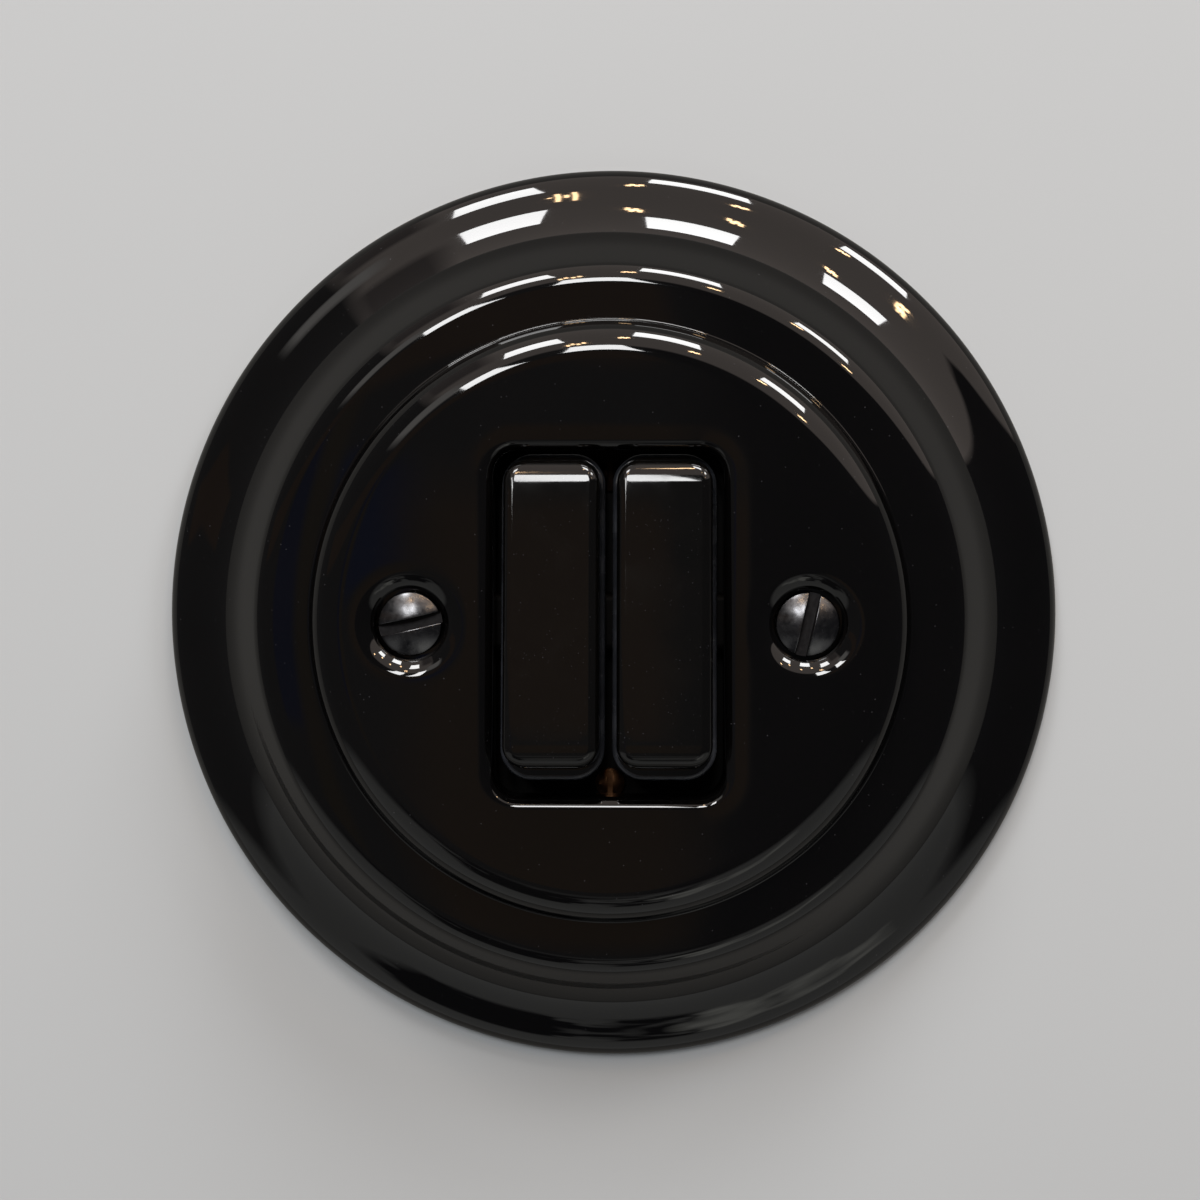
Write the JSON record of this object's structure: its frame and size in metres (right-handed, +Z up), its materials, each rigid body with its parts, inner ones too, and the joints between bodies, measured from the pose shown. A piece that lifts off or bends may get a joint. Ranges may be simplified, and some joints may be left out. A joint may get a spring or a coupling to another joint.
{
  "type": "roller shutter switch",
  "caption": "Round porcelain roller shutter switch for a flush wall box: glazed frame and cover, side-by-side rockers, slotted cover screws, contact block and spreading claws.",
  "frame": {"origin": "centre of the switch on the wall plane, midway between the box screw slots", "axes": "+X to the right, +Z up the wall, -Y out of the wall towards the user"},
  "size_m": [0.1, 0.0424, 0.1],
  "materials": {
    "black_porcelain": "gloss",
    "black_plastic": "gloss",
    "dark_moulding": "matte",
    "burnished_steel": "satin",
    "zinc_steel": "satin",
    "brass": "satin",
    "silver_contact": "satin",
    "spring_steel": "satin"
  },
  "bodies": {
    "housing": {"frame_ring": "black_porcelain", "cover_plate": "black_porcelain", "cover_screw_left": "burnished_steel", "cover_screw_right": "burnished_steel", "screw_pillar_left": "brass", "screw_pillar_right": "brass", "mounting_plate": "zinc_steel", "plate_screws": "zinc_steel", "base": "dark_moulding", "bearing_frame": "dark_moulding", "bearing_screws": "brass", "pivot_pin": "burnished_steel", "line_strip": "brass", "up_strip": "brass", "down_strip": "brass", "fixed_rivet_up": "silver_contact", "fixed_rivet_down": "silver_contact", "terminal_screws": "brass", "clamp_up": "zinc_steel", "clamp_down": "zinc_steel", "clamp_line": "zinc_steel", "claw_pin_top": "zinc_steel", "claw_pin_bottom": "zinc_steel", "claw_screws": "zinc_steel"},
    "rocker_left": {"rocker_left": "black_plastic", "carrier_left": "dark_moulding", "plunger_left": "brass", "plunger_spring_left": "spring_steel"},
    "rocker_right": {"rocker_right": "black_plastic", "carrier_right": "dark_moulding", "plunger_right": "brass", "plunger_spring_right": "spring_steel"},
    "contact_left": {"contact_lever_left": "brass", "lever_rivet_left": "silver_contact"},
    "contact_right": {"contact_lever_right": "brass", "lever_rivet_right": "silver_contact"},
    "claw_top": {"claw_top": "zinc_steel"},
    "claw_bottom": {"claw_bottom": "zinc_steel"}
  },
  "joints": [
    {"name": "rocker_left_tilt", "type": "hinge", "parent": "housing", "child": "rocker_left", "pos_m": [-0.00595, -0.009, 0], "axis": [1, 0, 0], "range_deg": [0, 13]},
    {"name": "rocker_right_tilt", "type": "hinge", "parent": "housing", "child": "rocker_right", "pos_m": [0.00595, -0.009, 0], "axis": [1, 0, 0], "range_deg": [0, 13]},
    {"name": "contact_left_tilt", "type": "hinge", "parent": "housing", "child": "contact_left", "pos_m": [-0.00595, 0.0036, 0], "axis": [1, 0, 0], "range_deg": [-16, 0]},
    {"name": "contact_right_tilt", "type": "hinge", "parent": "housing", "child": "contact_right", "pos_m": [0.00595, 0.0036, 0], "axis": [1, 0, 0], "range_deg": [-16, 0]},
    {"name": "claw_top_spread", "type": "hinge", "parent": "housing", "child": "claw_top", "pos_m": [0, 0.0035, 0.0272], "axis": [1, 0, 0], "range_deg": [0, 22]},
    {"name": "claw_bottom_spread", "type": "hinge", "parent": "housing", "child": "claw_bottom", "pos_m": [0, 0.0035, -0.0272], "axis": [-1, 0, 0], "range_deg": [0, 22]}
  ],
  "couplings": [
    {"joint": "contact_left_tilt", "follows": "rocker_left_tilt", "ratio": -1.2},
    {"joint": "contact_right_tilt", "follows": "rocker_right_tilt", "ratio": -1.2}
  ]
}
